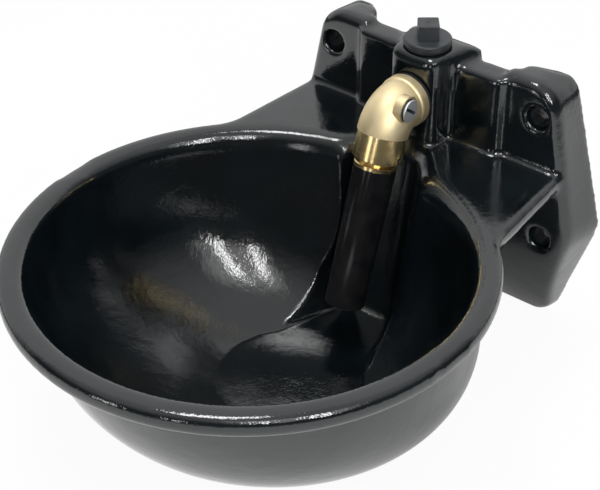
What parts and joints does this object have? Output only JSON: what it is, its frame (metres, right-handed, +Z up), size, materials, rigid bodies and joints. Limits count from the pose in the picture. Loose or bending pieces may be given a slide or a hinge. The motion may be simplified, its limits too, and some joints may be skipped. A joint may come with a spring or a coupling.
{
  "type": "livestock drinking bowl",
  "caption": "Round cast iron drinking bowl on a hollow wall flange, with a brass elbow valve that opens when the muzzle tilts its hanging tube, and a plugged pipe port on top.",
  "frame": {"origin": "on the wall plane, midway between the two upper wall holes", "axes": "+Y into the wall along the bolts, +Z up, +X to the right seen from the animal's side"},
  "size_m": [0.261, 0.3195, 0.185],
  "materials": {
    "enamelled_iron": "glossy black enamel with a fine orange-peel surface",
    "plug_plastic": "matte dark grey moulded plastic",
    "black_rubber": "matte black rubber",
    "blasted_brass": "sand-blasted pale brass",
    "turned_brass": "bright turned brass",
    "zinc_plated_steel": "pale zinc plating",
    "white_plastic": "natural white acetal",
    "spring_steel": "stainless spring wire",
    "tube_plastic": "glossy black moulded plastic"
  },
  "bodies": {
    "casting": {"bowl_casting": "enamelled_iron", "top_plug": "plug_plastic", "top_plug_gasket": "black_rubber", "valve_elbow": "blasted_brass", "elbow_gasket": "black_rubber", "seat_bush": "white_plastic", "seat_oring": "black_rubber", "tube_nut": "turned_brass", "nut_pin": "zinc_plated_steel", "return_spring": "spring_steel"},
    "screw_carrier": {"flow_screw_oring": "black_rubber"},
    "flow_screw": {"flow_screw": "zinc_plated_steel"},
    "plunger": {"valve_plunger": "turned_brass", "valve_disc": "black_rubber"},
    "pivot_cup": {"pivot_cup": "white_plastic"},
    "tube": {"tube_head": "turned_brass", "valve_tube": "tube_plastic", "tube_end_sleeve": "tube_plastic"}
  },
  "joints": [
    {"name": "flow_screw_travel", "type": "slide", "parent": "casting", "child": "screw_carrier", "axis": [1, 0, 0], "range_m": [-0.0015, 0.0005]},
    {"name": "flow_screw_turn", "type": "hinge", "parent": "screw_carrier", "child": "flow_screw", "pos_m": [0.0127, -0.0705, 0.003], "axis": [1, 0, 0], "range_deg": [-540, 180]},
    {"name": "plunger_lift", "type": "slide", "parent": "casting", "child": "plunger", "axis": [0, 0.3173, 0.9483], "range_m": [0, 0.0013], "stiffness_N_per_m": 500, "springref_m": -0.006, "deforming": ["return_spring"]},
    {"name": "tube_tilt_fore_aft", "type": "hinge", "parent": "casting", "child": "pivot_cup", "pos_m": [0, -0.07882, -0.02289], "axis": [1, 0, 0], "range_deg": [-7, 7], "stiffness_Nm_per_rad": 0.5},
    {"name": "tube_tilt_sideways", "type": "hinge", "parent": "pivot_cup", "child": "tube", "pos_m": [0, -0.07882, -0.02289], "axis": [0, 0.9483, -0.3173], "range_deg": [-7, 7], "stiffness_Nm_per_rad": 0.5}
  ],
  "couplings": [
    {"joint": "flow_screw_turn", "follows": "flow_screw_travel", "rad_per_m": 6283.1}
  ]
}
